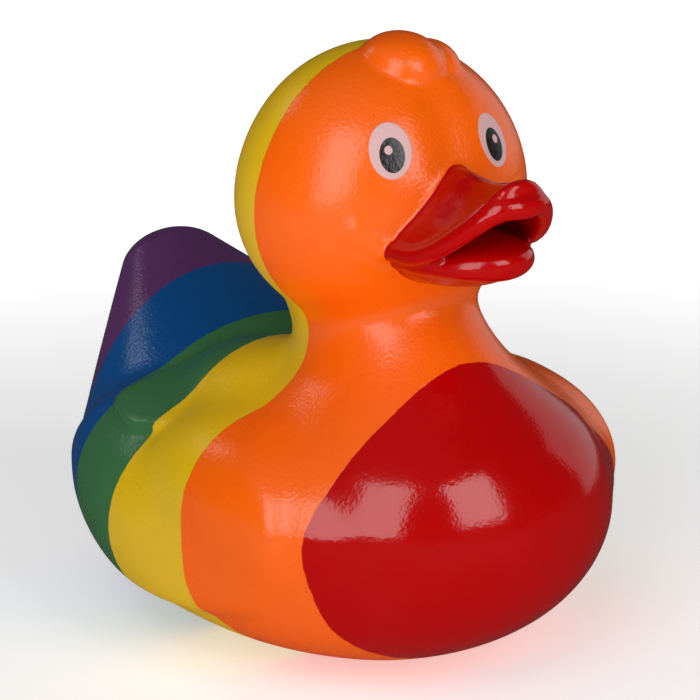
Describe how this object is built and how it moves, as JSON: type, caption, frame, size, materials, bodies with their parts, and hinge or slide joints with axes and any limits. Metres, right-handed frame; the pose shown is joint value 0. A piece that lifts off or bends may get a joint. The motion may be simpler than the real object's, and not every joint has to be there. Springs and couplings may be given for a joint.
{
  "type": "rubber duck",
  "caption": "Hollow moulded bath duck with painted cross bands, a raised tuft, moulded wings and an open bill, standing on a flat base with a small vent",
  "frame": {"origin": "centre of the bounding box's underside, on the plane of the flat base", "axes": "the duck faces -Y, its own left is +X and its height is +Z"},
  "size_m": [0.0642, 0.0855, 0.0795],
  "materials": {
    "duck_body": "gloss"
  },
  "bodies": {
    "root": {"duck_body": "duck_body"}
  },
  "joints": []
}
